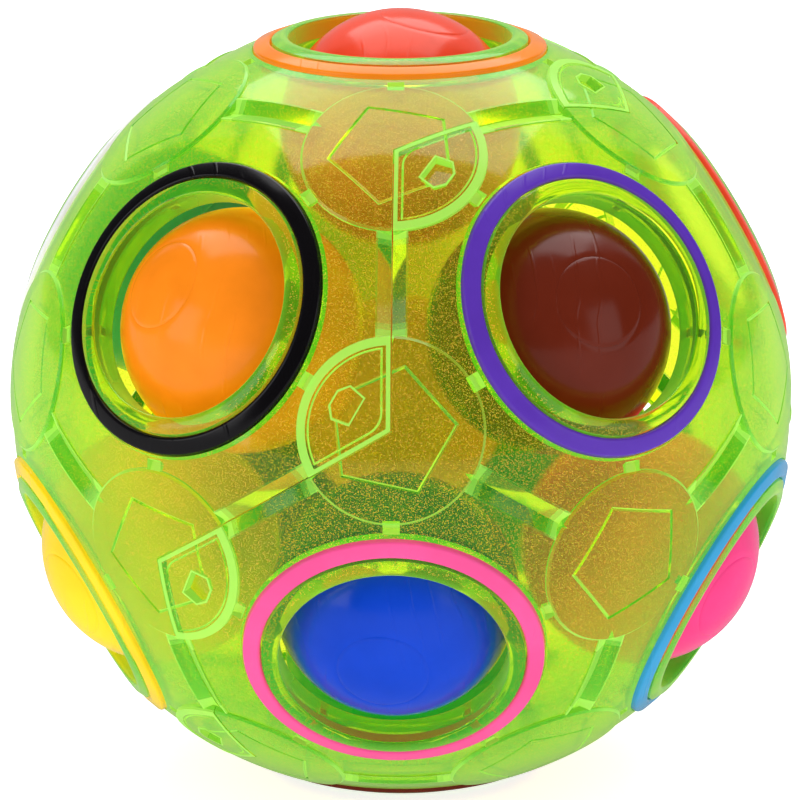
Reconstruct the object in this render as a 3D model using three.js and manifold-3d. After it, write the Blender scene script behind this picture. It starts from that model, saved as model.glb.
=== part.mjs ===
// A ball-shifting sphere puzzle: a hollow two-piece shell with twelve round windows, a coloured
// snap-in ring round each window, eleven loose balls that each sit in a window, and a core ball
// that keeps them from falling inwards. One window is empty, so a ball next to it can be pressed
// in and pushed across. The windows face the twelve corners of an icosahedron, and the raised
// discs between them sit on the twenty corners of the matching dodecahedron.
//
// The origin is at the centre of the bottom window's rim, on the plane that the puzzle stands on.

import * as THREE from 'three';
import { ConvexGeometry } from 'three/addons/geometries/ConvexGeometry.js';
import { mergeVertices } from 'three/addons/utils/BufferGeometryUtils.js';
import Module from 'manifold-3d';

const wasm = await Module();
wasm.setup();

// Shell, all in millimetres. Radii are from the puzzle's centre unless a comment says otherwise.
const SHELL_RADIUS = 34.7;
const SHELL_WALL = 1.6;
const DISC_FACE_RADIUS = 35.05;
const DISC_SIZE = 8.0;
const DISC_FOOT = 33.4;
const SEAM_GAP = 0.2;

// Window section, as distances from the window's axis and heights along it from the centre.
const WINDOW_RADIUS = 9.85;
const SLEEVE_FOOT = 30.6;
const RIM_HEIGHT = 33.4;
const RIM_FLAT_INNER = 10.0;
const RIM_FLAT_OUTER = 10.6;
const RIM_EDGE_DROP = 0.15;
const SLEEVE_OUTER_RADIUS = 11.3;
const SLEEVE_OUTER_HEIGHT = 33.05;
const GROOVE_OUTER_RADIUS = 13.05;
const GROOVE_FLOOR = 31.3;
const COLLAR_RADIUS = 13.6;
const COLLAR_TOP = 31.5;
const PAD_RADIUS = 12.2;

// Ring section, with the play that lets it snap into its groove.
const RING_PLAY = 0.12;
const RING_OUTER_HEIGHT = 32.4;
const RING_CREST = [12.2, 32.98];
const RING_INNER_HEIGHT = 33.12;

// Balls.
const BALL_RADIUS = 10.6;
const BALL_SEAT = 25.0;
const PRESSED_BALL_SEAT = 22.7;
const SHIFTING_BALL_SEAT = 24.0;
const CORE_RADIUS = 9.5;

// Fineness of the round surfaces.
const SHELL_DETAIL = 6;
const BALL_DETAIL = 3;
const WINDOW_SIDES = 20;
const DISC_SIDES = 16;

// Distances that only have to reach past the shell.
const INSIDE = 28;
const PAD_TOP = 34.4;
const OUTSIDE = 40;

const UP = new THREE.Vector3(0, 0, 1);

// Neighbouring windows face along icosahedron corners, and the side of the cone of space that
// belongs to a window leans out from its axis by half of the angle between two of them.
const NEIGHBOUR_COSINE = Math.sqrt(0.2);
const CONE_SIDE_SINE = Math.sqrt((1 - NEIGHBOUR_COSINE) / 2);
const COSINE_SLACK = 0.01;

const SHELL_LIME = { color: 0x9be22a, roughness: 0.15, metalness: 0 };
const COLOURS = {
  orange: 0xff8c1a,
  red: 0xf2482a,
  black: 0x0c0a0d,
  purple: 0x5b34b0,
  brown: 0x5e1f12,
  green: 0x1f9b3c,
  white: 0xf2f4f5,
  pink: 0xf9559a,
  hot_pink: 0xfa3c88,
  cerulean: 0x2f9bd0,
  royal_blue: 0x1046cd,
  yellow: 0xfddc22,
  teal: 0x14a39a,
  amber: 0xc87a32,
};

const UPPER = THREE.MathUtils.radToDeg(Math.atan(0.5));
const LOWER = -UPPER;

// Every window: its place, the colour of its ring, and the colour and seat of its ball. Azimuths
// are in degrees about +Z from +X, and -90 faces the front.
const WINDOWS = [
  { place: 'top', elevation: 90, azimuth: 0, ring: 'orange', ball: 'red' },
  { place: 'upper_front_left', elevation: UPPER, azimuth: -126, ring: 'black', ball: 'orange' },
  { place: 'upper_front_right', elevation: UPPER, azimuth: -54, ring: 'purple', ball: 'brown' },
  { place: 'upper_right', elevation: UPPER, azimuth: 18, ring: 'red' },
  { place: 'upper_back', elevation: UPPER, azimuth: 90, ring: 'royal_blue', ball: 'white' },
  { place: 'upper_left', elevation: UPPER, azimuth: 162, ring: 'white', ball: 'cerulean' },
  { place: 'lower_front', elevation: LOWER, azimuth: -90, ring: 'pink', ball: 'royal_blue' },
  { place: 'lower_right', elevation: LOWER, azimuth: -18, ring: 'cerulean', ball: 'hot_pink' },
  {
    place: 'lower_back_right', elevation: LOWER, azimuth: 54, ring: 'teal', ball: 'green',
    seat: SHIFTING_BALL_SEAT,
  },
  { place: 'lower_back_left', elevation: LOWER, azimuth: 126, ring: 'green', ball: 'purple' },
  { place: 'lower_left', elevation: LOWER, azimuth: -162, ring: 'yellow', ball: 'yellow' },
  {
    place: 'bottom', elevation: -90, azimuth: 0, ring: 'brown', ball: 'teal',
    seat: PRESSED_BALL_SEAT,
  },
];

// The windows in each half of the shell. The seam is the zigzag line between the two sets.
const RIGHT_HALF = ['upper_front_right', 'upper_right', 'lower_front', 'lower_right',
  'lower_back_right', 'bottom'];

function directionOf({ elevation, azimuth }) {
  const tilt = THREE.MathUtils.degToRad(elevation);
  const turn = THREE.MathUtils.degToRad(azimuth);
  const across = Math.cos(tilt);
  return new THREE.Vector3(across * Math.cos(turn), across * Math.sin(turn), Math.sin(tilt));
}

for (const window of WINDOWS) {
  window.direction = directionOf(window);
  window.turn = new THREE.Quaternion().setFromUnitVectors(UP, window.direction);
}

function areNeighbours(a, b) {
  return a !== b && a.direction.dot(b.direction) > NEIGHBOUR_COSINE - COSINE_SLACK;
}

// The dodecahedron's corners: one between every three windows that all touch each other.
function cornersBetweenWindows() {
  const corners = [];
  WINDOWS.forEach((a, i) => {
    WINDOWS.slice(i + 1).forEach((b, j) => {
      WINDOWS.slice(i + j + 2).forEach((c) => {
        if (areNeighbours(a, b) && areNeighbours(b, c) && areNeighbours(a, c)) {
          const direction = a.direction.clone().add(b.direction).add(c.direction).normalize();
          corners.push({ direction, windows: [a, b, c] });
        }
      });
    });
  });
  return corners;
}

// A round solid about +Z. The profile runs anticlockwise as [radius, height] pairs.
function lathe(profile, sides) {
  const points = profile.map(([radius, height]) => new THREE.Vector2(radius, height));
  return new THREE.LatheGeometry(points, sides).rotateX(Math.PI / 2);
}

function ball(radius, detail) {
  return new THREE.IcosahedronGeometry(radius, detail);
}

// A closed geometry with shared corners and no collapsed triangles.
function weld(geometry) {
  const plain = geometry.clone();
  plain.deleteAttribute('normal');
  plain.deleteAttribute('uv');
  const merged = mergeVertices(plain);
  const index = merged.index.array;
  const kept = [];
  for (let i = 0; i < index.length; i += 3) {
    const [a, b, c] = index.slice(i, i + 3);
    if (a !== b && b !== c && a !== c) kept.push(a, b, c);
  }
  merged.setIndex(kept);
  return merged;
}

function toSolid(geometry) {
  const welded = weld(geometry);
  const mesh = new wasm.Mesh({
    numProp: 3,
    vertProperties: new Float32Array(welded.attributes.position.array),
    triVerts: new Uint32Array(welded.index.array),
  });
  return new wasm.Manifold(mesh);
}

function toGeometry(solid) {
  const mesh = solid.getMesh();
  const geometry = new THREE.BufferGeometry();
  geometry.setAttribute('position', new THREE.BufferAttribute(mesh.vertProperties, 3));
  geometry.setIndex(new THREE.BufferAttribute(mesh.triVerts, 1));
  geometry.computeVertexNormals();
  return geometry;
}

function turned(geometry, direction) {
  const turn = new THREE.Quaternion().setFromUnitVectors(UP, direction);
  return geometry.clone().applyQuaternion(turn);
}

function joinAll(solids) {
  return solids.reduce((sum, solid) => sum.add(solid));
}

// How far a sphere about the centre reaches along an axis, at a distance from that axis.
function heightOnSphere(sphereRadius, fromAxis) {
  return Math.sqrt(sphereRadius ** 2 - fromAxis ** 2);
}

// The raised round discs: their faces follow a sphere just outside the shell's.
function raisedDiscs() {
  const disc = lathe([
    [0, DISC_FOOT],
    [DISC_SIZE, DISC_FOOT],
    [DISC_SIZE, heightOnSphere(DISC_FACE_RADIUS, DISC_SIZE)],
    [DISC_SIZE / 2, heightOnSphere(DISC_FACE_RADIUS, DISC_SIZE / 2)],
    [0, DISC_FACE_RADIUS],
  ], DISC_SIDES);
  return cornersBetweenWindows().map(({ direction }) => toSolid(turned(disc, direction)));
}

// What each window adds to the wall: a collar under the ring and a pad for the sleeve.
function windowBlank() {
  return lathe([
    [0, SLEEVE_FOOT],
    [COLLAR_RADIUS, SLEEVE_FOOT],
    [COLLAR_RADIUS, COLLAR_TOP],
    [PAD_RADIUS, COLLAR_TOP],
    [PAD_RADIUS, PAD_TOP],
    [0, PAD_TOP],
  ], WINDOW_SIDES);
}

// What each window takes away: the hole, the space over the sleeve's rim, and the ring's groove.
function windowCutter() {
  return lathe([
    [0, INSIDE],
    [WINDOW_RADIUS, INSIDE],
    [WINDOW_RADIUS, RIM_HEIGHT - RIM_EDGE_DROP],
    [RIM_FLAT_INNER, RIM_HEIGHT],
    [RIM_FLAT_OUTER, RIM_HEIGHT],
    [SLEEVE_OUTER_RADIUS, SLEEVE_OUTER_HEIGHT],
    [SLEEVE_OUTER_RADIUS, GROOVE_FLOOR],
    [GROOVE_OUTER_RADIUS, GROOVE_FLOOR],
    [GROOVE_OUTER_RADIUS, OUTSIDE],
    [0, OUTSIDE],
  ], WINDOW_SIDES);
}

function wholeShell() {
  const blank = windowBlank();
  const cutter = windowCutter();
  const blanks = WINDOWS.map(({ direction }) => toSolid(turned(blank, direction)));
  const cutters = WINDOWS.map(({ direction }) => toSolid(turned(cutter, direction)));
  return toSolid(ball(SHELL_RADIUS, SHELL_DETAIL))
    .subtract(toSolid(ball(SHELL_RADIUS - SHELL_WALL, SHELL_DETAIL)))
    .add(joinAll(raisedDiscs()))
    .add(joinAll(blanks))
    .subtract(joinAll(cutters));
}

// The five-sided cone of space that belongs to one window, grown by half of the seam's gap.
function windowCone(window) {
  const corners = cornersBetweenWindows().filter(({ windows }) => windows.includes(window));
  const tip = window.direction.clone().multiplyScalar(-SEAM_GAP / 2 / CONE_SIDE_SINE);
  const base = corners.map(({ direction }) => {
    const reach = OUTSIDE / direction.dot(window.direction);
    return direction.clone().multiplyScalar(reach).add(tip);
  });
  return toSolid(new ConvexGeometry([tip, ...base]));
}

function shellHalf(shell, isInHalf) {
  const others = WINDOWS.filter((window) => !isInHalf(window)).map(windowCone);
  return toGeometry(shell.subtract(joinAll(others)));
}

function ringGeometry() {
  const inner = SLEEVE_OUTER_RADIUS + RING_PLAY;
  const outer = GROOVE_OUTER_RADIUS - RING_PLAY;
  const foot = GROOVE_FLOOR + RING_PLAY;
  return lathe([
    [inner, foot],
    [outer, foot],
    [outer, RING_OUTER_HEIGHT],
    RING_CREST,
    [inner, RING_INNER_HEIGHT],
    [inner, foot],
  ], WINDOW_SIDES);
}

function material({ color, roughness, metalness }) {
  return new THREE.MeshStandardMaterial({ color, roughness, metalness });
}

function opaquePlastic(colour) {
  return material({ color: COLOURS[colour], roughness: 0.25, metalness: 0 });
}

function named(name, geometry, finish) {
  const mesh = new THREE.Mesh(geometry, finish);
  mesh.name = name;
  return mesh;
}

function addShell(puzzle) {
  const isRight = ({ place }) => RIGHT_HALF.includes(place);
  const isLeft = (window) => !isRight(window);
  const shell = wholeShell();
  puzzle.add(named('shell_half_right', shellHalf(shell, isRight), material(SHELL_LIME)));
  puzzle.add(named('shell_half_left', shellHalf(shell, isLeft), material(SHELL_LIME)));
}

function addRings(puzzle) {
  const geometry = weld(ringGeometry());
  for (const window of WINDOWS) {
    const ring = named(`ring_${window.place}`, geometry.clone(), opaquePlastic(window.ring));
    ring.quaternion.copy(window.turn);
    puzzle.add(ring);
  }
}

function addBalls(puzzle) {
  for (const window of WINDOWS.filter(({ ball: colour }) => colour)) {
    const seat = window.seat ?? BALL_SEAT;
    const finish = opaquePlastic(window.ball);
    const piece = named(`ball_${window.place}`, ball(BALL_RADIUS, BALL_DETAIL), finish);
    piece.position.copy(window.direction).multiplyScalar(seat);
    puzzle.add(piece);
  }
  puzzle.add(named('core_ball', ball(CORE_RADIUS, BALL_DETAIL), opaquePlastic('amber')));
}

function ballPuzzle() {
  const puzzle = new THREE.Group();
  addShell(puzzle);
  addRings(puzzle);
  addBalls(puzzle);
  puzzle.position.z = RIM_HEIGHT;
  return puzzle;
}

export default ballPuzzle();
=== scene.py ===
"""The looks of a ball-shifting sphere puzzle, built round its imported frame.

The shell, rings and balls are shaped in millimetres about the puzzle's centre, and each piece is
then put in its place in the frame, in metres.
"""

import math

import bmesh
import bpy
import numpy as np
from mathutils import Matrix, Vector


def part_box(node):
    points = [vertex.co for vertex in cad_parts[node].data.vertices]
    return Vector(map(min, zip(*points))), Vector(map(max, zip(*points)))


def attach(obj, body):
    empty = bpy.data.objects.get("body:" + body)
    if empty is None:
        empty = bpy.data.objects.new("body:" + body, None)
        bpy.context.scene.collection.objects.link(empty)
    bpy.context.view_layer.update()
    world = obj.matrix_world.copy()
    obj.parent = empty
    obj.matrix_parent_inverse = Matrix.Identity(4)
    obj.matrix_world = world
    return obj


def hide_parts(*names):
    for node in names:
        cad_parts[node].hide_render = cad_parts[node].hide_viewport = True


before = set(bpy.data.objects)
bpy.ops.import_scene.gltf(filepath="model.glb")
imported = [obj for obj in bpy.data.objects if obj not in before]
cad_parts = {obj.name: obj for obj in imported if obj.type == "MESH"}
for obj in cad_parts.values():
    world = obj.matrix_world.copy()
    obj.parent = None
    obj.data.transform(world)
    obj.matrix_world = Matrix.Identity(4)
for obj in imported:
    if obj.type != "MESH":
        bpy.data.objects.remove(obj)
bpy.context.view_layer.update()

MM = 0.001


def middle_of(node):
    low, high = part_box(node)
    return (low + high) / 2


CENTRE = middle_of("core_ball")

# Shell, in millimetres from the puzzle's centre.
SHELL_RADIUS = 34.7
SHELL_WALL = 1.6
SHELL_DETAIL = 6
SEAM_GAP = 0.12

# Raised discs on the dodecahedron's corners, and the fine pentagon cut in the face of each.
DISC_FACE_RADIUS = 34.98
DISC_SIZE = 8.0
DISC_FOOT = 33.4
DISC_BEVEL = 0.2
DISC_SIDES = 120
PENTAGON_SIZE = 5.8
GROOVE_WIDTH = 0.34
GROOVE_DEPTH = 0.15
GROOVE_CUTTER_PROUD = 0.03

# Bands between the discs: a low rib with a shallow valley along its middle.
BAND_HALF_WIDTH = 1.35
BAND_TOP_RADIUS = 34.84
VALLEY_HALF_WIDTH = 1.2
VALLEY_RADIUS = 34.15
BAND_STEPS = 24
BAND_INSET = 6.5

# Seam sectors: the rim round the third of a seam disc that belongs to one half, and its socket.
SECTOR_SPREAD = math.radians(120)
SECTOR_TOP_RADIUS = 35.04
SECTOR_RIM_FOOT = DISC_FOOT + 0.3
SECTOR_ARC_INSET = 0.02
SECTOR_SIDE_INSET = 0.05
SECTOR_ARC_RIM = 0.75
SECTOR_SIDE_RIM = 0.42
SECTOR_LINE_GAP = 0.14
SECTOR_LINE_INSET = 0.7
SECTOR_LINE_WIDTH = 0.2
SECTOR_LINE_ROUND = 2.0
SOCKET_DISTANCE = 4.3
SOCKET_OUTLINE = [
    (-0.9, -1.25), (0.55, -1.5), (1.2, -0.65), (1.2, 0.65), (0.55, 1.5), (-0.9, 1.25),
]
SOCKET_FLOOR = 33.9
SOCKET_WALL = 0.2

# Windows, as distances from a window's axis and heights along it.
WINDOW_RADIUS = 9.85
SLEEVE_FOOT = 30.6
RIM_HEIGHT = 33.4
RIM_ROUND = 0.22
RIM_OUTER_RADIUS = 10.6
SLEEVE_OUTER_RADIUS = 11.3
SLEEVE_OUTER_HEIGHT = 33.05
GROOVE_OUTER_RADIUS = 13.05
GROOVE_FLOOR = 31.3
COLLAR_RADIUS = 13.6
COLLAR_TOP = 31.5
PAD_RADIUS = 12.2
PAD_TOP = 34.4
WINDOW_SIDES = 160
NOTCH_WIDTH = 1.45
NOTCH_INNER = 13.4
NOTCH_OUTER = 14.3
NOTCH_FLOOR = 31.2

# The legs that each ring snaps in by, and their slots in the floor of the groove.
LEG_RADIUS = 11.95
LEG_WIDTH = 0.7
LEG_DEPTH = 0.8
LEG_FOOT = 30.1
SLOT_PLAY = 0.12

# Distances that only have to reach past the shell.
INSIDE = 28.0
OUTSIDE = 36.0

# Rings.
RING_PLAY = 0.12
RING_TOP_RADIUS = 35.0
RING_ROUND = 0.3
RING_SHOULDER = math.radians(60)
RING_SIDES = 160

# Every window: elevation and azimuth in degrees, ring colour and ball colour.
UPPER = math.degrees(math.atan(0.5))
LOWER = -UPPER
WINDOWS = {
    "top": (90, 0, "orange", "red"),
    "upper_front_left": (UPPER, -126, "black", "orange"),
    "upper_front_right": (UPPER, -54, "purple", "brown"),
    "upper_right": (UPPER, 18, "red", None),
    "upper_back": (UPPER, 90, "royal_blue", "white"),
    "upper_left": (UPPER, 162, "white", "cerulean"),
    "lower_front": (LOWER, -90, "pink", "royal_blue"),
    "lower_right": (LOWER, -18, "cerulean", "hot_pink"),
    "lower_back_right": (LOWER, 54, "teal", "green"),
    "lower_back_left": (LOWER, 126, "green", "purple"),
    "lower_left": (LOWER, -162, "yellow", "yellow"),
    "bottom": (-90, 0, "brown", "teal"),
}
RIGHT_HALF = (
    "upper_front_right", "upper_right", "lower_front", "lower_right", "lower_back_right", "bottom",
)
LEFT_HALF = tuple(place for place in WINDOWS if place not in RIGHT_HALF)


def unit(vector):
    return vector / np.linalg.norm(vector)


def direction_of(place):
    elevation, azimuth = (math.radians(angle) for angle in WINDOWS[place][:2])
    across = math.cos(elevation)
    return np.array([across * math.cos(azimuth), across * math.sin(azimuth), math.sin(elevation)])


DIRECTIONS = {place: direction_of(place) for place in WINDOWS}
NEIGHBOUR_COSINE = math.sqrt(0.2)


def are_neighbours(a, b):
    return a != b and DIRECTIONS[a] @ DIRECTIONS[b] > NEIGHBOUR_COSINE - 0.01


def find_corners():
    """The dodecahedron's corners: (direction, the three windows round it)."""
    places = list(WINDOWS)
    return [
        (unit(DIRECTIONS[a] + DIRECTIONS[b] + DIRECTIONS[c]), (a, b, c))
        for i, a in enumerate(places)
        for j, b in enumerate(places[i + 1:], i + 1)
        for c in places[j + 1:]
        if are_neighbours(a, b) and are_neighbours(b, c) and are_neighbours(a, c)
    ]


CORNERS = find_corners()


def lone_window(places):
    """The one window of the three round a corner that is in the other half of the shell."""
    right = [place for place in places if place in RIGHT_HALF]
    left = [place for place in places if place in LEFT_HALF]
    if not right or not left:
        return None
    return right[0] if len(right) == 1 else left[0]


# Shapes are pairs of an array of points and a list of faces. Each face of the shell holds a share
# of painted glow, standing for light that the plastic gathers at its edges, which booleans carry
# from tool to shell.

GLOW = "glow"
RIM_GLOW = 1.0
BAND_GLOW = 0.9
SOCKET_GLOW = 0.6
SECTOR_LINE_GLOW = 0.4
DISC_GLOW = 0.3
WINDOW_GLOW = 0.1


def circle(radius, height, sides):
    angles = np.linspace(0, 2 * math.pi, sides, endpoint=False)
    return np.column_stack(
        [radius * np.cos(angles), radius * np.sin(angles), np.full(sides, float(height))]
    )


def loft(loops, closed=False):
    """Skins loops of equal length. A closed loft joins its last loop to its first one."""
    count, sides = len(loops), len(loops[0])
    faces = []
    for i in range(count if closed else count - 1):
        j = (i + 1) % count
        for k in range(sides):
            n = (k + 1) % sides
            faces.append((i * sides + k, i * sides + n, j * sides + n, j * sides + k))
    if not closed:
        faces.append(tuple(reversed(range(sides))))
        faces.append(tuple(range((count - 1) * sides, count * sides)))
    return np.concatenate(loops), faces


def lathe(profile, sides, closed=False):
    return loft([circle(radius, height, sides) for radius, height in profile], closed)


def prism(outline, low, high):
    """A solid on a flat outline, from one height to another."""
    flat = np.array(outline, float)
    return loft([np.column_stack([flat, np.full(len(flat), float(z))]) for z in (low, high)])


def facing(direction, towards):
    """The turn that takes +Z to a direction, and +X as near as it can to another."""
    x = unit(towards - direction * (towards @ direction))
    return np.column_stack([x, np.cross(direction, x), direction])


def turned(shape, turn):
    points, faces = shape
    return points @ turn.T, faces


def shifted(outline, x):
    return [(x + along, across) for along, across in outline]


def joined(shapes):
    points, faces, start = [], [], 0
    for shape_points, shape_faces in shapes:
        points.append(shape_points)
        faces += [tuple(start + index for index in face) for face in shape_faces]
        start += len(shape_points)
    return np.concatenate(points), faces


def height_on(sphere_radius, from_axis):
    return math.sqrt(sphere_radius**2 - from_axis**2)


def placed(name, mesh, glow):
    """A new object whose faces all hold the same share of painted glow."""
    share = mesh.attributes.new(GLOW, "FLOAT", "FACE")
    share.data.foreach_set("value", [glow] * len(mesh.polygons))
    thing = bpy.data.objects.new(name, mesh)
    bpy.context.scene.collection.objects.link(thing)
    return thing


def to_object(name, shape, glow=0.0):
    points, faces = shape
    mesh = bpy.data.meshes.new(name)
    mesh.from_pydata(points.tolist(), [], faces)
    return placed(name, mesh, glow)


def sphere(name, radius, detail, glow=0.0):
    mesh = bpy.data.meshes.new(name)
    made = bmesh.new()
    bmesh.ops.create_icosphere(made, subdivisions=detail, radius=radius)
    made.to_mesh(mesh)
    made.free()
    return placed(name, mesh, glow)


def combine(target, operation, tool):
    """Joins a tool to the target, cuts it away or keeps what both share. The tool is used up."""
    step = target.modifiers.new(operation, "BOOLEAN")
    step.operation = operation
    step.solver = "MANIFOLD"
    step.object = tool
    result = bpy.data.meshes.new_from_object(
        target.evaluated_get(bpy.context.evaluated_depsgraph_get())
    )
    target.modifiers.clear()
    target.data = result
    bpy.data.objects.remove(tool)
    return target


def copy_of(thing, name):
    twin = bpy.data.objects.new(name, thing.data.copy())
    bpy.context.scene.collection.objects.link(twin)
    return twin


# Shell features.


def at_corners(shape):
    """Copies of a shape on every corner, each with +X towards the window that its disc favours."""
    return joined(
        turned(shape, facing(direction, DIRECTIONS[lone_window(places) or places[-1]]))
        for direction, places in CORNERS
    )


def at_seam_corners(shape):
    return joined(
        turned(shape, facing(direction, DIRECTIONS[lone_window(places)]))
        for direction, places in CORNERS
        if lone_window(places)
    )


def at_windows(shape):
    """Copies of a shape on every window, each with +X towards one of its five corners."""
    return joined(
        turned(shape, facing(direction, corners_of(place)[0]))
        for place, direction in DIRECTIONS.items()
    )


def corners_of(place):
    """The directions of a window's five corners, in order round it."""
    mine = [direction for direction, places in CORNERS if place in places]
    turn = facing(DIRECTIONS[place], mine[0])
    return sorted(mine, key=lambda corner: math.atan2(*(corner @ turn)[[1, 0]]))


def disc():
    bevel_top = height_on(DISC_FACE_RADIUS, DISC_SIZE - DISC_BEVEL)
    profile = [(DISC_SIZE, DISC_FOOT), (DISC_SIZE, bevel_top - DISC_BEVEL)]
    for radius in (DISC_SIZE - DISC_BEVEL, 7, 6, 5, 4, 3, 2, 1, 0.2):
        profile.append((radius, height_on(DISC_FACE_RADIUS, radius)))
    return lathe(profile, DISC_SIDES)


def groove(outer, middle, inner):
    """What cuts a V-shaped groove in a disc's face, from three outlines with as many points."""
    top = DISC_FACE_RADIUS + GROOVE_CUTTER_PROUD
    floor = DISC_FACE_RADIUS - GROOVE_DEPTH
    loops = []
    for outline, radius in ((middle, floor), (outer, top), (inner, top)):
        loops.append(np.array([(x, y, height_on(radius, math.hypot(x, y))) for x, y in outline]))
    return loft(loops, closed=True)


def pentagon_outline(size, steps=6):
    """A pentagon about +Z with extra points along its sides."""
    corners = circle(size, 0, 5)[:, :2]
    return [
        tuple(start + (end - start) * k / steps)
        for start, end in zip(corners, np.roll(corners, -1, axis=0))
        for k in range(steps)
    ]


def pentagon_groove():
    inset = GROOVE_WIDTH / 2 / math.cos(math.pi / 5)
    return groove(*(pentagon_outline(PENTAGON_SIZE - k * inset) for k in range(3)))


def band_along(start, end, section):
    """Sweeps a section of (distance from the middle, radius) pairs from one disc to another."""
    halfway = unit(start + end)
    across = unit(np.cross(start, end))
    along = np.cross(across, halfway)
    reach = math.acos(start @ halfway) - BAND_INSET / SHELL_RADIUS
    loops = []
    for angle in np.linspace(-reach, reach, BAND_STEPS):
        outwards = math.cos(angle) * halfway + math.sin(angle) * along
        loops.append(np.array([
            radius * (math.cos(side / radius) * outwards + math.sin(side / radius) * across)
            for side, radius in section
        ]))
    return loft(loops)


def edge_pairs():
    """The pairs of corners at the ends of each dodecahedron edge."""
    return [
        (first, second)
        for i, (first, a) in enumerate(CORNERS)
        for second, b in CORNERS[i + 1:]
        if len(set(a) & set(b)) == 2
    ]


def bands():
    section = [
        (-BAND_HALF_WIDTH, DISC_FOOT),
        (BAND_HALF_WIDTH, DISC_FOOT),
        (BAND_HALF_WIDTH, BAND_TOP_RADIUS),
        (0, BAND_TOP_RADIUS),
        (-BAND_HALF_WIDTH, BAND_TOP_RADIUS),
    ]
    return joined(band_along(start, end, section) for start, end in edge_pairs())


def valleys():
    section = [
        (0, VALLEY_RADIUS),
        (VALLEY_HALF_WIDTH, BAND_TOP_RADIUS),
        (VALLEY_HALF_WIDTH, OUTSIDE),
        (-VALLEY_HALF_WIDTH, OUTSIDE),
        (-VALLEY_HALF_WIDTH, BAND_TOP_RADIUS),
    ]
    return joined(band_along(start, end, section) for start, end in edge_pairs())


def window_pad():
    return lathe([
        (COLLAR_RADIUS, SLEEVE_FOOT),
        (COLLAR_RADIUS, COLLAR_TOP),
        (PAD_RADIUS, COLLAR_TOP),
        (PAD_RADIUS, PAD_TOP),
    ], WINDOW_SIDES)


def window_cutter():
    edge = [
        (
            WINDOW_RADIUS + RIM_ROUND * (1 - math.cos(angle)),
            RIM_HEIGHT - RIM_ROUND * (1 - math.sin(angle)),
        )
        for angle in np.linspace(0, math.pi / 2, 5)
    ]
    return lathe([
        (WINDOW_RADIUS, INSIDE),
        *edge,
        (RIM_OUTER_RADIUS, RIM_HEIGHT),
        (SLEEVE_OUTER_RADIUS, SLEEVE_OUTER_HEIGHT),
        (SLEEVE_OUTER_RADIUS, GROOVE_FLOOR),
        (GROOVE_OUTER_RADIUS, GROOVE_FLOOR),
        (GROOVE_OUTER_RADIUS, OUTSIDE),
    ], WINDOW_SIDES)


def around_axis(shape):
    """Five copies of a shape about +Z."""
    copies = []
    for k in range(5):
        angle = 2 * math.pi * k / 5
        turn = np.array(Matrix.Rotation(angle, 3, "Z"))
        copies.append(turned(shape, turn))
    return joined(copies)


def box_at(x, depth, width, low, high):
    """A box with its middle on +X: its depth runs along X and its width along Y."""
    near, far, side = x - depth / 2, x + depth / 2, width / 2
    return prism([(near, -side), (far, -side), (far, side), (near, side)], low, high)


def notches():
    middle = (NOTCH_INNER + NOTCH_OUTER) / 2
    notch = box_at(middle, NOTCH_OUTER - NOTCH_INNER, NOTCH_WIDTH, NOTCH_FLOOR, OUTSIDE)
    return around_axis(notch)


def sector_outline(arc_radius, side_inset, tip_round=0.0, arc_steps=28, tip_steps=9):
    """A third of a disc about +X. Its straight sides are inset, and its tip may be round."""
    half = SECTOR_SPREAD / 2
    turn = math.asin(side_inset / arc_radius)
    middle = (side_inset + tip_round) / math.sin(half)
    tip = [
        (middle + tip_round * math.cos(angle), tip_round * math.sin(angle))
        for angle in np.linspace(math.pi / 2 + half, 3 * math.pi / 2 - half, tip_steps)
    ]
    arc = np.linspace(-half + turn, half - turn, arc_steps)
    outline = tip if tip_round else [(middle, 0.0)]
    return outline + [(arc_radius * math.cos(a), arc_radius * math.sin(a)) for a in arc]


def frame_between(outer, inner, low, high):
    """A flat frame between two outlines that have the same number of points."""
    loops = []
    for outline, z in ((outer, low), (outer, high), (inner, high), (inner, low)):
        flat = np.array(outline, float)
        loops.append(np.column_stack([flat, np.full(len(flat), float(z))]))
    return loft(loops, closed=True)


def grown(outline, amount):
    """A convex outline about its own middle, grown by a small amount."""
    flat = np.array(outline, float)
    middle = flat.mean(axis=0)
    away = flat - middle
    return (middle + away * (1 + amount / np.linalg.norm(away, axis=1))[:, None]).tolist()


def sector_rims():
    """The raised rims of the seam sectors and the frames round their sockets."""
    rim = frame_between(
        sector_outline(DISC_SIZE - SECTOR_ARC_INSET, SECTOR_SIDE_INSET),
        sector_outline(DISC_SIZE - SECTOR_ARC_RIM, SECTOR_SIDE_RIM),
        SECTOR_RIM_FOOT, OUTSIDE,
    )
    socket = shifted(SOCKET_OUTLINE, SOCKET_DISTANCE)
    socket_frame = frame_between(grown(socket, SOCKET_WALL), socket, SECTOR_RIM_FOOT, OUTSIDE)
    rims = to_object("sector_rims", at_seam_corners(joined([rim, socket_frame])), RIM_GLOW)
    return combine(rims, "INTERSECT", sphere("tops", SECTOR_TOP_RADIUS, SHELL_DETAIL, RIM_GLOW))


def sector_line():
    """The fine round-cornered groove inside each sector's rim."""
    return groove(*(
        sector_outline(
            DISC_SIZE - SECTOR_ARC_RIM - SECTOR_LINE_GAP - inset, SECTOR_LINE_INSET + inset,
            SECTOR_LINE_ROUND,
        )
        for inset in (0, SECTOR_LINE_WIDTH / 2, SECTOR_LINE_WIDTH)
    ))


def leg_slots():
    play = 2 * SLOT_PLAY
    slot = box_at(LEG_RADIUS, LEG_DEPTH + play, LEG_WIDTH + play, INSIDE, GROOVE_FLOOR + 1)
    return at_windows(around_axis(slot))


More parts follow.
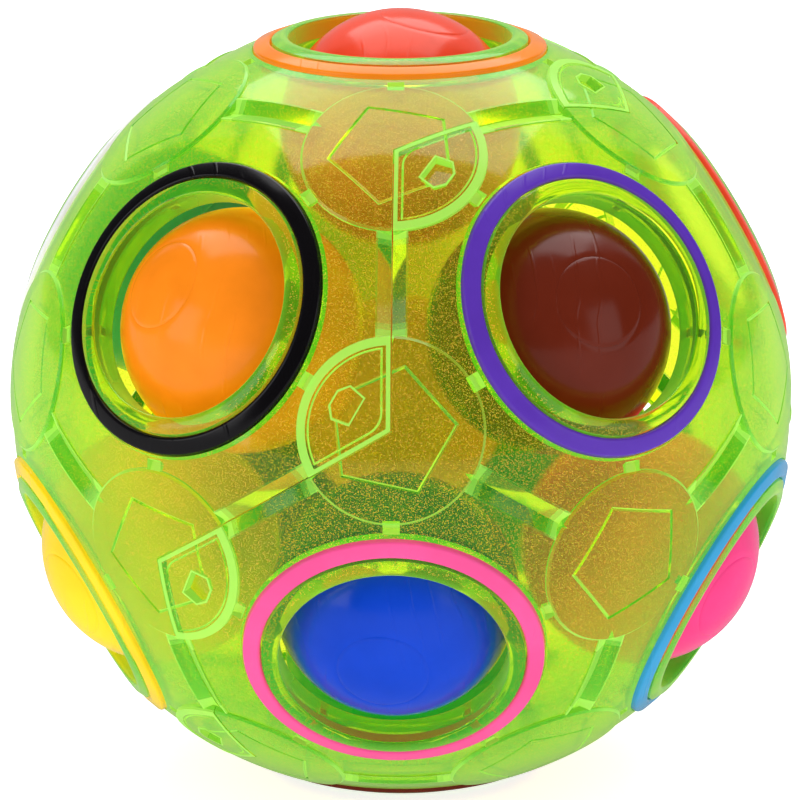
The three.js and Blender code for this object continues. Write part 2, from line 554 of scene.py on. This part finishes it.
def whole_shell():
    shell = sphere("shell", SHELL_RADIUS, SHELL_DETAIL)
    combine(shell, "UNION", to_object("bands", bands(), BAND_GLOW))
    combine(shell, "DIFFERENCE", to_object("valleys", valleys(), BAND_GLOW))
    combine(shell, "UNION", to_object("discs", at_corners(disc()), DISC_GLOW))
    pentagons = to_object("pentagons", at_corners(pentagon_groove()), DISC_GLOW)
    combine(shell, "DIFFERENCE", pentagons)
    lines = to_object("sector_lines", at_seam_corners(sector_line()), SECTOR_LINE_GLOW)
    combine(shell, "DIFFERENCE", lines)
    combine(shell, "UNION", sector_rims())
    socket = prism(shifted(SOCKET_OUTLINE, SOCKET_DISTANCE), SOCKET_FLOOR, OUTSIDE)
    combine(shell, "DIFFERENCE", to_object("sockets", at_seam_corners(socket), SOCKET_GLOW))
    combine(shell, "DIFFERENCE", sphere("inside", SHELL_RADIUS - SHELL_WALL, SHELL_DETAIL))
    combine(shell, "UNION", to_object("pads", at_windows(window_pad()), WINDOW_GLOW))
    combine(shell, "DIFFERENCE", to_object("windows", at_windows(window_cutter()), WINDOW_GLOW))
    combine(shell, "DIFFERENCE", to_object("notches", at_windows(notches()), RIM_GLOW))
    combine(shell, "DIFFERENCE", to_object("slots", leg_slots()))
    return shell


def window_cone(place):
    """The five-sided cone of space that belongs to one window, grown by half of the seam's gap."""
    direction = DIRECTIONS[place]
    side_sine = math.sqrt((1 - NEIGHBOUR_COSINE) / 2)
    tip = -direction * SEAM_GAP / 2 / side_sine
    rays = [corner / (corner @ direction) for corner in corners_of(place)]
    return loft([np.array([tip + ray * reach for ray in rays]) for reach in (0.01, OUTSIDE)])


def shell_half(shell, name, other_places):
    half = copy_of(shell, name)
    for place in other_places:
        combine(half, "DIFFERENCE", to_object("cone", window_cone(place)))
    return half


# Finishing a piece.

ROUND_FACES = (SHELL_RADIUS, SHELL_RADIUS - SHELL_WALL, DISC_FACE_RADIUS, SECTOR_TOP_RADIUS)
ROUND_TOLERANCE = 0.02
LEVEL_COSINE = 0.99

# A band's painted glow fades between these two distances from a corner, down to its least share.
BAND_FADE = (8.0, 10.0)
LEAST_BAND_GLOW = 0.25
LEAST_SLOPE = 0.02
GLOW_TOLERANCE = 0.01


def face_table(mesh, name, width):
    values = np.zeros(len(mesh.polygons) * width)
    mesh.polygons.foreach_get(name, values)
    return values.reshape(-1, width)


def settle_glow(thing):
    """Takes the painted glow off level faces apart from rims, and lets a band's painted glow fade
    towards its middle.
    """
    mesh = thing.data
    middles = face_table(mesh, "center", 3)
    outwards = middles / np.linalg.norm(middles, axis=1)[:, None]
    slopes = 1 - np.abs((outwards * face_table(mesh, "normal", 3)).sum(axis=1))
    glow = np.zeros(len(mesh.polygons), np.float32)
    mesh.attributes[GLOW].data.foreach_get("value", glow)
    is_band = np.abs(glow - BAND_GLOW) < GLOW_TOLERANCE
    is_rim = np.abs(glow - RIM_GLOW) < GLOW_TOLERANCE
    glow[(slopes < LEAST_SLOPE) & ~is_band & ~is_rim] = 0
    corners = np.array([direction for direction, _ in CORNERS])
    from_corner = SHELL_RADIUS * np.arccos((outwards @ corners.T).max(axis=1))
    fade = 1 - (from_corner - BAND_FADE[0]) / (BAND_FADE[1] - BAND_FADE[0])
    glow[is_band] *= np.clip(fade, LEAST_BAND_GLOW, 1)[is_band]
    mesh.attributes[GLOW].data.foreach_set("value", glow)


def smooth(thing, sharp_angle=30):
    for polygon in thing.data.polygons:
        polygon.use_smooth = True
    thing.data.set_sharp_from_angle(angle=math.radians(sharp_angle))


def smooth_as_spheres(thing):
    """Gives the faces that lie on a sphere about the centre that sphere's own normals."""
    smooth(thing)
    mesh = thing.data
    points = np.zeros(len(mesh.vertices) * 3)
    mesh.vertices.foreach_get("co", points)
    points = points.reshape(-1, 3)
    radii = np.linalg.norm(points, axis=1)
    normals = np.zeros(len(mesh.loops) * 3, np.float32)
    mesh.corner_normals.foreach_get("vector", normals)
    normals = normals.reshape(-1, 3)
    for polygon in mesh.polygons:
        corners = list(polygon.vertices)
        outwards = unit(points[corners].mean(axis=0))
        tilt = outwards @ np.array(polygon.normal)
        if abs(tilt) < LEVEL_COSINE:
            continue
        if any(np.abs(radii[corners] - radius).max() < ROUND_TOLERANCE for radius in ROUND_FACES):
            for loop, vertex in zip(polygon.loop_indices, corners):
                normals[loop] = points[vertex] / radii[vertex] * np.sign(tilt)
    mesh.normals_split_custom_set(normals.tolist())


def put_in_frame(thing, middle=None):
    """Millimetres about a middle become metres in the frame."""
    place = Matrix.Translation(CENTRE if middle is None else middle)
    thing.data.transform(place @ Matrix.Scale(MM, 4))


def finish_piece(thing, body, node, material):
    thing.data.materials.clear()
    thing.data.materials.append(material)
    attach(thing, body)
    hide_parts(node)


# Materials.

COLOURS = {
    "orange": "ff8a12", "red": "f2482a", "black": "0c0a0d", "purple": "5b34b0",
    "brown": "66200d", "green": "1f9b3c", "white": "f2f4f5", "pink": "f9559a",
    "hot_pink": "fa3c88", "cerulean": "2f9bd0", "royal_blue": "0040c8", "yellow": "fdd80e",
    "teal": "14a39a", "amber": "c87a32",
}


def linear(code):
    """A linear colour from a six-figure sRGB code."""
    shares = [int(code[i:i + 2], 16) / 255 for i in (0, 2, 4)]
    return tuple(
        share / 12.92 if share <= 0.04045 else ((share + 0.055) / 1.055) ** 2.4 for share in shares
    )


def new_material(name):
    material = bpy.data.materials.new(name)
    material.use_nodes = True
    material.node_tree.nodes.clear()
    return material


def node(material, kind, **settings):
    made = material.node_tree.nodes.new(kind)
    for key, value in settings.items():
        setattr(made, key, value)
    return made


def ramp(material, value, low, high, out_low=0.0, out_high=1.0):
    """Maps a value between two limits onto two others."""
    made = node(material, "ShaderNodeMapRange")
    material.node_tree.links.new(value, made.inputs["Value"])
    limits = {"From Min": low, "From Max": high, "To Min": out_low, "To Max": out_high}
    for name, limit in limits.items():
        made.inputs[name].default_value = limit
    return made.outputs["Result"]


def feed(material, sockets, values):
    """Gives each socket its number, its colour or a link from another node's output."""
    for socket, value in zip(sockets, values):
        if isinstance(value, (int, float)):
            socket.default_value = value
        elif isinstance(value, tuple):
            socket.default_value = (*value, 1)
        else:
            material.node_tree.links.new(value, socket)


def maths(material, operation, first, second):
    made = node(material, "ShaderNodeMath", operation=operation, use_clamp=True)
    feed(material, made.inputs, (first, second))
    return made.outputs[0]


def mix_colours(material, share, first, second):
    made = node(material, "ShaderNodeMix", data_type="RGBA")
    colour_sockets = [socket for socket in made.inputs if socket.type == "RGBA"]
    feed(material, (made.inputs[0], *colour_sockets), (share, first, second))
    return next(socket for socket in made.outputs if socket.type == "RGBA")


def mix_shaders(material, share, first, second):
    made = node(material, "ShaderNodeMixShader")
    feed(material, made.inputs, (share, first, second))
    return made.outputs[0]


def texture(material, kind, scale, **inputs):
    """A procedural texture on the piece's own coordinates, in metres."""
    place = node(material, "ShaderNodeTexCoord")
    made = node(material, "ShaderNodeTex" + kind)
    made.inputs["Scale"].default_value = scale
    for name, value in inputs.items():
        made.inputs[name].default_value = value
    material.node_tree.links.new(place.outputs["Object"], made.inputs["Vector"])
    return made


def bump(material, height, strength, distance, below=None):
    made = node(material, "ShaderNodeBump")
    made.inputs["Strength"].default_value = strength
    made.inputs["Distance"].default_value = distance
    material.node_tree.links.new(height, made.inputs["Height"])
    if below:
        material.node_tree.links.new(below, made.inputs["Normal"])
    return made.outputs["Normal"]


def finish_material(material, surface, volume=None):
    output = node(material, "ShaderNodeOutputMaterial")
    material.node_tree.links.new(surface, output.inputs["Surface"])
    if volume:
        material.node_tree.links.new(volume, output.inputs["Volume"])
    return material


# Texture scales are in cells per metre, and depths are in metres.
# The core ball has a painted glow in its own colour, which lights the inside of the shell.
CORE_PAINTED_GLOW = 0.25
MOTTLE_SCALE = 160
MOTTLE_SHADE = 0.88
ORANGE_PEEL_SCALE = 1400
ORANGE_PEEL_DEPTH = 0.00004
SWIRL_SCALE = 170
SWIRL_DEPTH = 0.00006
PLASTIC_SHINE = 0.3
PLASTIC_ROUGHNESS = (0.14, 0.24)


def swirls(material):
    """Fine curved moulding lines, as a height."""
    rings = texture(material, "Wave", SWIRL_SCALE, **{
        "Distortion": 14.0, "Detail": 3.0, "Detail Scale": 0.35, "Detail Roughness": 0.4,
    })
    line = ramp(material, rings.outputs["Fac"], 0.93, 1.0)
    patches = texture(material, "Noise", MOTTLE_SCALE)
    where = ramp(material, patches.outputs["Fac"], 0.5, 0.62)
    return maths(material, "MULTIPLY", line, where)


def glossy_plastic(colour, painted_glow_strength=0.0):
    """Solid moulded plastic with a slight mottle, a fine orange peel and faint swirls. Its last
    argument gives it a painted glow in its own colour.
    """
    material = new_material("plastic_" + colour)
    links = material.node_tree.links
    base = linear(COLOURS[colour])
    mottle = texture(material, "Noise", MOTTLE_SCALE, Detail=4.0)
    darker = tuple(MOTTLE_SHADE * share for share in base)
    tone = mix_colours(material, ramp(material, mottle.outputs["Fac"], 0.35, 0.6), darker, base)
    peel = texture(material, "Noise", ORANGE_PEEL_SCALE)
    skin = bump(material, peel.outputs["Fac"], 0.12, ORANGE_PEEL_DEPTH)
    skin = bump(material, swirls(material), 0.5, SWIRL_DEPTH, skin)
    surface = node(material, "ShaderNodeBsdfPrincipled")
    surface.inputs["Specular IOR Level"].default_value = PLASTIC_SHINE
    surface.inputs["Emission Strength"].default_value = painted_glow_strength
    links.new(tone, surface.inputs["Emission Color"])
    links.new(tone, surface.inputs["Base Color"])
    rough = ramp(material, mottle.outputs["Fac"], 0.3, 0.7, *PLASTIC_ROUGHNESS)
    links.new(rough, surface.inputs["Roughness"])
    links.new(skin, surface.inputs["Normal"])
    return finish_material(material, surface.outputs[0])


GLASS_TINT = (0.98, 0.97, 0.5)
GLASS_ROUGHNESS = 0.08
GLASS_INDEX = 1.49
DEPTH_TINT = (0.968, 0.988, 0.04)
DEPTH_DENSITY = 1500
VEIL_LIME = linear("3ccc34")
VEIL_DARK = linear("30ac2c")
# A paler lime painted towards the limb: a painted sheen.
LIMB_SHEEN_LIME = linear("8ec048")
EDGE_GLOW_LIME = linear("92d24e")
GLITTER_GOLD = linear("e8b040")
GRAIN_SCALE = 9000
GLITTER_SCALE = 9500
VEIL_ROUGHNESS = 0.3
# The milky veil's painted glow in its own colour.
VEIL_PAINTED_GLOW = 0.4

# Shares of veil: on level and on slanting walls, over a fleck, and at an edge with painted glow.
WALL_VEIL = (0.09, 0.55)
FLECK_VEIL = 0.5
EDGE_VEIL = 0.85
EDGE_GAIN = (1, 3)
FLECK_FADE = (1, 0.2)


def tinted_glass(material):
    glass = node(material, "ShaderNodeBsdfPrincipled")
    glass.inputs["Base Color"].default_value = (*GLASS_TINT, 1)
    glass.inputs["Roughness"].default_value = GLASS_ROUGHNESS
    glass.inputs["Transmission Weight"].default_value = 1.0
    glass.inputs["IOR"].default_value = GLASS_INDEX
    return glass.outputs[0]


def glitter(material):
    """Where the fine gold flecks in the plastic are."""
    flecks = texture(material, "Voronoi", GLITTER_SCALE)
    near = ramp(material, flecks.outputs["Distance"], 0.6, 0.35)
    parts = node(material, "ShaderNodeSeparateColor")
    material.node_tree.links.new(flecks.outputs["Color"], parts.inputs[0])
    chosen = ramp(material, parts.outputs["Red"], 0.68, 0.72)
    return maths(material, "MULTIPLY", near, chosen)


def milk(material, colour):
    made = node(material, "ShaderNodeBsdfPrincipled")
    made.inputs["Roughness"].default_value = VEIL_ROUGHNESS
    made.inputs["Specular IOR Level"].default_value = PLASTIC_SHINE
    # Painted glow: the veil shines in its own colour.
    made.inputs["Emission Strength"].default_value = VEIL_PAINTED_GLOW
    material.node_tree.links.new(colour, made.inputs["Base Color"])
    material.node_tree.links.new(colour, made.inputs["Emission Color"])
    return made.outputs[0]


def open_to_lamps(material, surface):
    """Lets lamps and bounced light through to what is inside. The wall's depth tints them."""
    path = node(material, "ShaderNodeLightPath")
    clear = node(material, "ShaderNodeBsdfTransparent")
    for ray in ("Is Diffuse Ray", "Is Shadow Ray"):
        surface = mix_shaders(material, path.outputs[ray], surface, clear.outputs[0])
    return surface


def tint_by_depth(material):
    """Takes out blue at once and red slowly, so that thick and slanting walls turn lime."""
    made = node(material, "ShaderNodeVolumeAbsorption")
    made.inputs["Color"].default_value = (*DEPTH_TINT, 1)
    made.inputs["Density"].default_value = DEPTH_DENSITY
    return made.outputs[0]


def shell_plastic():
    """Neon-lime plastic with gold glitter and a milky veil with a painted glow, painted brighter
    at its edges and paler towards its limb as a painted sheen.
    """
    material = new_material("shell_lime")
    painted_glow_share = node(material, "ShaderNodeAttribute", attribute_name=GLOW).outputs["Fac"]
    tilt = node(material, "ShaderNodeLayerWeight")
    tilt.inputs["Blend"].default_value = 0.5
    slant = tilt.outputs["Facing"]
    # Painted glow on edges, stronger on walls seen aslant.
    edge = maths(material, "MULTIPLY", painted_glow_share, ramp(material, slant, 0.2, 0.5, *EDGE_GAIN))
    grain = texture(material, "Noise", GRAIN_SCALE)
    level = ramp(material, painted_glow_share, 0, 0.05, 1, 0)
    flecks = maths(material, "MULTIPLY", glitter(material), level)
    fade = ramp(material, slant, 0.3, 0.8, *FLECK_FADE)
    flecks = maths(material, "MULTIPLY", flecks, fade)
    lime = mix_colours(
        material, ramp(material, grain.outputs["Fac"], 0.35, 0.65), VEIL_DARK, VEIL_LIME
    )
    # Painted sheen: the lime turns paler towards the limb.
    lime = mix_colours(material, ramp(material, slant, 0.4, 1.0), lime, LIMB_SHEEN_LIME)
    lime = mix_colours(material, flecks, lime, GLITTER_GOLD)
    # Edges are painted a paler, glowing lime.
    lime = mix_colours(material, edge, lime, EDGE_GLOW_LIME)
    veil = ramp(material, slant, 0.1, 0.75, *WALL_VEIL)
    for where, share in ((flecks, FLECK_VEIL), (edge, EDGE_VEIL)):
        veil = maths(material, "MAXIMUM", veil, maths(material, "MULTIPLY", where, share))
    surface = mix_shaders(material, veil, tinted_glass(material), milk(material, lime))
    return finish_material(material, open_to_lamps(material, surface), tint_by_depth(material))


# Pieces.


def add_shell():
    whole = whole_shell()
    plastic = shell_plastic()
    for name, other_places in (("right", LEFT_HALF), ("left", RIGHT_HALF)):
        half = shell_half(whole, "shell_" + name, other_places)
        settle_glow(half)
        smooth_as_spheres(half)
        put_in_frame(half)
        finish_piece(half, "shell", "shell_half_" + name, plastic)
    bpy.data.objects.remove(whole)


def ring_profile():
    """The ring's section: straight sides, rounded shoulders and a top that follows the sphere."""
    inner = SLEEVE_OUTER_RADIUS + RING_PLAY
    outer = GROOVE_OUTER_RADIUS - RING_PLAY
    foot = GROOVE_FLOOR + RING_PLAY
    section = [(inner, foot), (outer, foot)]
    top = height_on(RING_TOP_RADIUS, outer - RING_ROUND)
    for angle in np.linspace(0, RING_SHOULDER, 6):
        section.append((
            outer - RING_ROUND * (1 - math.cos(angle)),
            top - RING_ROUND * (1 - math.sin(angle)),
        ))
    top = height_on(RING_TOP_RADIUS, inner + RING_ROUND)
    for angle in np.linspace(RING_SHOULDER, math.pi, 8):
        section.append((
            inner + RING_ROUND * (1 + math.cos(angle)),
            top - RING_ROUND * (1 - math.sin(angle)),
        ))
    return section


def ring_legs():
    leg = box_at(LEG_RADIUS, LEG_DEPTH, LEG_WIDTH, LEG_FOOT, GROOVE_FLOOR + 1)
    return around_axis(leg)


def add_rings(plastics):
    for place, (_, _, colour, _) in WINDOWS.items():
        ring = to_object("snap_ring_" + place, lathe(ring_profile(), RING_SIDES, closed=True))
        combine(ring, "UNION", to_object("legs", ring_legs()))
        ring.data.transform(Matrix(facing(DIRECTIONS[place], corners_of(place)[0])).to_4x4())
        smooth(ring)
        put_in_frame(ring)
        finish_piece(ring, "shell", "ring_" + place, plastics[colour])


# Balls: a moulded ring mark on one side, and the parting line round the middle. Each ball's pole
# leans off its window's axis by a different turn, so that the marks don't all lie alike.
MARK_DISTANCE = 4.1
MARK_WIDTH = 0.3
MARK_DEPTH = 0.05
PARTING_HEIGHT = 0.03
PARTING_WIDTH = 0.16
BALL_SIDES = 128
BALL_STEPS = 64
POLE_TIP = 0.002
POLE_TURN = 2.4
POLE_LEAN = 0.25
BALL_SIDEWAYS = np.array([0.6, 0.8, 0.1])


def ball_profile(radius):
    """Angles from the pole at which a ball's outline has points, each with its radius there."""
    mark = MARK_DISTANCE / radius
    half_mark = MARK_WIDTH / 2 / radius
    half_line = PARTING_WIDTH / 2 / radius
    points = [(angle, radius) for angle in np.linspace(POLE_TIP, math.pi - POLE_TIP, BALL_STEPS)]
    points = [
        (angle, size) for angle, size in points
        if abs(angle - mark) > half_mark and abs(angle - math.pi / 2) > half_line
    ]
    points += [(mark + side * half_mark, radius) for side in (-1, 1)]
    points += [(mark, radius - MARK_DEPTH)]
    points += [(math.pi / 2 + side * half_line, radius) for side in (-1, 1)]
    points += [(math.pi / 2, radius + PARTING_HEIGHT)]
    return [
        (size * math.sin(angle), -size * math.cos(angle)) for angle, size in sorted(points)
    ]


def add_ball(name, node_name, body, pole, colour, plastics):
    low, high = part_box(node_name)
    radius = (high - low).x / 2 / MM
    shape = lathe(ball_profile(radius), BALL_SIDES)
    ball = to_object(name, turned(shape, facing(unit(-pole), BALL_SIDEWAYS)))
    smooth(ball)
    put_in_frame(ball, middle_of(node_name))
    finish_piece(ball, body, node_name, plastics[colour])


def add_balls(plastics):
    for number, (place, (_, _, _, colour)) in enumerate(WINDOWS.items()):
        if not colour:
            continue
        turn = POLE_TURN * number
        lean = np.array([math.cos(turn), math.sin(turn), 0.5])
        pole = DIRECTIONS[place] + POLE_LEAN * lean
        add_ball("shown_ball_" + place, "ball_" + place, "ball_" + place, pole, colour, plastics)
    add_ball("shown_core_ball", "core_ball", "core_ball", np.array([0, 0.1, 1]), "amber", plastics)


# Camera, light and floor.

CAMERA_TURN = math.radians(-88.48)
CAMERA_TILT = math.radians(15.08)
CAMERA_ROLL = math.radians(-0.25)
CAMERA_DISTANCE = 0.5586
CAMERA_LENS = 281.1
CAMERA_SHIFT = (-0.0019, 0.0011)

# Soft boxes: place and side in metres, and radiance.
SOFT_BOXES = {
    "left_box": ((-0.76, -0.5, 0.26), 0.5, 1.6),
    "right_box": ((0.76, -0.5, 0.26), 0.5, 0.9),
    "top_box": ((0, 0.45, 0.95), 1.0, 2.6),
    "backdrop": ((0, 1.3, 0.6), 2.2, 0.4),
}

# The white room's light on pieces, and how much of it mirrored and see-through rays find.
WORLD_LIGHT = 0.66
MIRRORED_LIGHT = 0.03
LIGHT_THROUGH_SHELL = 0.85

FLOOR_REACH = 1
FLOOR_DEPTH = 0.01
FLOOR_GREY = (0.7, 0.7, 0.7)
MIRRORED_FLOOR_GREY = (0.2, 0.2, 0.2)
FLOOR_LIGHT = 1.1


def add_camera():
    back = Vector((
        math.cos(CAMERA_TURN) * math.cos(CAMERA_TILT),
        math.sin(CAMERA_TURN) * math.cos(CAMERA_TILT),
        math.sin(CAMERA_TILT),
    ))
    data = bpy.data.cameras.new("camera")
    data.lens = CAMERA_LENS
    data.shift_x, data.shift_y = CAMERA_SHIFT
    camera = bpy.data.objects.new("camera", data)
    camera.location = CENTRE + back * CAMERA_DISTANCE
    aim = (-back).to_track_quat("-Z", "Y").to_matrix()
    camera.rotation_euler = (aim @ Matrix.Rotation(CAMERA_ROLL, 3, "Z")).to_euler()
    bpy.context.scene.collection.objects.link(camera)
    bpy.context.scene.camera = camera


def add_soft_box(name, place, size, radiance):
    """A square light that faces the puzzle. It shows in reflections, but not to the camera."""
    data = bpy.data.lights.new(name, "AREA")
    data.size = size
    data.energy = radiance * math.pi * size**2
    light = bpy.data.objects.new(name, data)
    light.location = place
    light.rotation_euler = (CENTRE - Vector(place)).to_track_quat("-Z", "Y").to_euler()
    light.visible_camera = False
    bpy.context.scene.collection.objects.link(light)


def glossy_share(shader):
    """1 for rays mirrored off a piece, so that plastics show soft boxes and not a white room."""
    path = node(shader, "ShaderNodeLightPath")
    return maths(
        shader, "MULTIPLY", path.outputs["Is Glossy Ray"], path.outputs["Is Reflection Ray"]
    )


def add_world():
    world = bpy.data.worlds.new("studio")
    world.use_nodes = True
    world.node_tree.nodes.clear()
    path = node(world, "ShaderNodeLightPath")
    strength = ramp(world, path.outputs["Is Diffuse Ray"], 0, 1, 1.0, WORLD_LIGHT)
    mirrored = ramp(world, glossy_share(world), 0, 1, 1.0, MIRRORED_LIGHT)
    background = node(world, "ShaderNodeBackground")
    background.inputs["Color"].default_value = (1, 1, 1, 1)
    links = world.node_tree.links
    through = ramp(world, path.outputs["Is Transmission Ray"], 0, 1, 1.0, LIGHT_THROUGH_SHELL)
    strength = maths(world, "MULTIPLY", maths(world, "MULTIPLY", strength, mirrored), through)
    links.new(strength, background.inputs["Strength"])
    output = node(world, "ShaderNodeOutputWorld")
    links.new(background.outputs[0], output.inputs["Surface"])
    bpy.context.scene.world = world


def add_lights():
    for name, (place, size, radiance) in SOFT_BOXES.items():
        add_soft_box(name, place, size, radiance)


def add_floor():
    near, far = -FLOOR_REACH, FLOOR_REACH
    outline = [(near, near), (far, near), (far, far), (near, far)]
    floor = to_object("floor", prism(outline, -FLOOR_DEPTH, 0))
    material = new_material("floor_white")
    surface = node(material, "ShaderNodeBsdfPrincipled")
    shade = mix_colours(material, glossy_share(material), FLOOR_GREY, MIRRORED_FLOOR_GREY)
    for name in ("Base Color", "Emission Color"):
        material.node_tree.links.new(shade, surface.inputs[name])
    surface.inputs["Roughness"].default_value = 0.9
    surface.inputs["Specular IOR Level"].default_value = 0.0
    surface.inputs["Emission Strength"].default_value = FLOOR_LIGHT
    floor.data.materials.append(finish_material(material, surface.outputs[0]))


def main():
    plastics = {colour: glossy_plastic(colour) for colour in COLOURS if colour != "amber"}
    # The amber core ball gets a painted glow.
    plastics["amber"] = glossy_plastic("amber", CORE_PAINTED_GLOW)
    add_camera()
    add_world()
    add_lights()
    add_floor()
    add_shell()
    add_rings(plastics)
    add_balls(plastics)
    bpy.context.scene.view_settings.view_transform = "Standard"


main()
